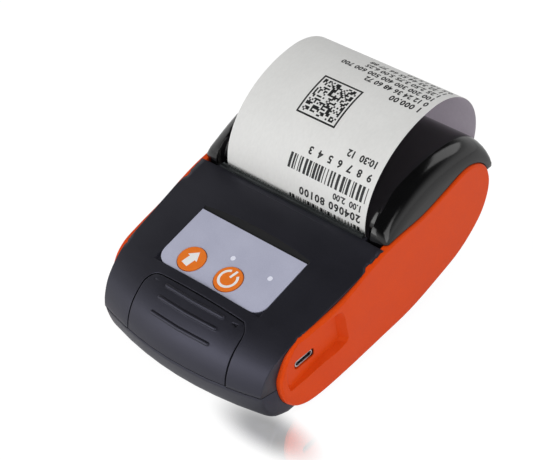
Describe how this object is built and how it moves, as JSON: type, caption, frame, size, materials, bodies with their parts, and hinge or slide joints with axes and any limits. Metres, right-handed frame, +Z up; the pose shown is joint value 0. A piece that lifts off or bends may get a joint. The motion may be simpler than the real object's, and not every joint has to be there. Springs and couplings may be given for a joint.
{
  "type": "portable receipt printer",
  "caption": "Hand-sized battery receipt printer: wedge-shaped case, hinged paper cover, platen drive, sprung keys, release flap, curled paper strip.",
  "frame": {"origin": "centre of the bounding box on the table, under the case", "axes": "+X to the side with the charging socket, -Y to the front with the release flap, +Z up; the printer stands on its feet at z = 0"},
  "size_m": [0.0774, 0.1159, 0.0635],
  "materials": {
    "shell_black": "fine-grained black plastic",
    "cover_black": "glossy black plastic",
    "panel_orange": "orange plastic with a metallic satin paint",
    "label_silver": "silver-grey satin film",
    "button_orange": "orange satin plastic",
    "light_clear": "clear light pipe",
    "board_green": "green solder mask",
    "parts_black": "black moulded packages",
    "steel": "bright steel",
    "steel_dark": "zinc-plated steel",
    "tear_steel": "grey steel strip",
    "frame_black": "black filled plastic",
    "gear_white": "white acetal",
    "brass": "machined brass",
    "rubber_black": "black rubber",
    "paper_white": "thermal paper",
    "core_brown": "card tube",
    "ceramic": "glazed ceramic strip",
    "aluminium": "die-cast aluminium",
    "battery_blue": "blue shrink film"
  },
  "bodies": {
    "case": {"bottom_shell": "shell_black", "top_shell": "shell_black", "right_side_panel": "panel_orange", "left_side_panel": "panel_orange", "control_label": "label_silver", "status_lights": "light_clear", "key_board": "board_green", "tear_bar": "tear_steel", "flap_pin": "steel", "flap_spring": "steel", "hook_pin": "steel", "hinge_pins": "steel", "print_frame": "frame_black", "head_springs": "steel", "feed_motor": "steel_dark", "idler_pin": "steel", "paper_bin": "frame_black", "paper_web": "paper_white", "main_board": "board_green", "usb_socket": "steel", "board_parts": "parts_black", "battery_pack": "battery_blue", "battery_contacts": "brass", "case_screws": "steel_dark", "rubber_feet": "rubber_black"},
    "cover": {"paper_cover": "cover_black", "cover_frame": "frame_black", "cover_screws": "steel", "platen_bushings": "gear_white", "paper_strip": "paper_white"},
    "platen": {"platen_rubber": "rubber_black", "platen_shaft": "steel", "platen_gear": "gear_white"},
    "idler": {"idler_gear": "gear_white"},
    "pinion": {"motor_pinion": "brass"},
    "roll": {"paper_roll": "paper_white", "roll_core": "core_brown"},
    "head": {"heat_sink": "aluminium", "print_head": "ceramic"},
    "flap": {"release_flap": "shell_black"},
    "bar": {"release_bar": "frame_black"},
    "hook": {"cover_hook": "steel_dark"},
    "feed_key": {"feed_button": "button_orange"},
    "power_key": {"power_button": "button_orange"},
    "door": {"battery_door": "shell_black"}
  },
  "joints": [
    {"name": "cover_hinge", "type": "hinge", "parent": "case", "child": "cover", "pos_m": [0, 0.05405, 0.0315], "axis": [-1, 0, 0], "range_deg": [0, 95]},
    {"name": "platen_spin", "type": "hinge", "parent": "cover", "child": "platen", "pos_m": [0, 0.00735, 0.0298], "axis": [-1, 0, 0], "continuous": true},
    {"name": "idler_spin", "type": "hinge", "parent": "case", "child": "idler", "pos_m": [0.03315, 0.00735, 0.01572], "axis": [-1, 0, 0], "continuous": true},
    {"name": "pinion_spin", "type": "hinge", "parent": "case", "child": "pinion", "pos_m": [0.0314, -0.00393, 0.01572], "axis": [-1, 0, 0], "continuous": true},
    {"name": "roll_spin", "type": "hinge", "parent": "case", "child": "roll", "pos_m": [0, 0.02905, 0.0283], "axis": [-1, 0, 0], "continuous": true},
    {"name": "head_tilt", "type": "hinge", "parent": "case", "child": "head", "pos_m": [0, 0.00005, 0.02452], "axis": [1, 0, 0], "range_deg": [0, 1.5], "stiffness_Nm_per_rad": 0.3, "springref_deg": -1.72},
    {"name": "flap_lift", "type": "hinge", "parent": "case", "child": "flap", "pos_m": [0.0008, -0.04435, 0.02665], "axis": [-1, 0, 0], "range_deg": [0, 8], "stiffness_Nm_per_rad": 0.02, "springref_deg": -17.19},
    {"name": "bar_slide", "type": "slide", "parent": "case", "child": "bar", "axis": [0, -1, 0], "range_m": [0, 0.00063]},
    {"name": "hook_swing", "type": "hinge", "parent": "case", "child": "hook", "pos_m": [-0.03395, 0.00025, 0.01065], "axis": [1, 0, 0], "range_deg": [0, 3.14]},
    {"name": "feed_press", "type": "slide", "parent": "case", "child": "feed_key", "axis": [0, 0.2053, -0.9787], "range_m": [0, 0.0004], "stiffness_N_per_m": 400, "springref_m": -0.0006},
    {"name": "power_press", "type": "slide", "parent": "case", "child": "power_key", "axis": [0, 0.2053, -0.9787], "range_m": [0, 0.0004], "stiffness_N_per_m": 400, "springref_m": -0.0006},
    {"name": "door_pull", "type": "slide", "parent": "case", "child": "door", "axis": [0, 0, -1], "range_m": [0, 0.012]}
  ],
  "couplings": [
    {"joint": "idler_spin", "follows": "platen_spin", "ratio": -0.75},
    {"joint": "pinion_spin", "follows": "platen_spin", "ratio": 1.875},
    {"joint": "roll_spin", "follows": "platen_spin", "ratio": 0.38462},
    {"joint": "bar_slide", "follows": "flap_lift", "m_per_rad": 0.0045},
    {"joint": "hook_swing", "follows": "flap_lift", "ratio": 0.3913}
  ]
}
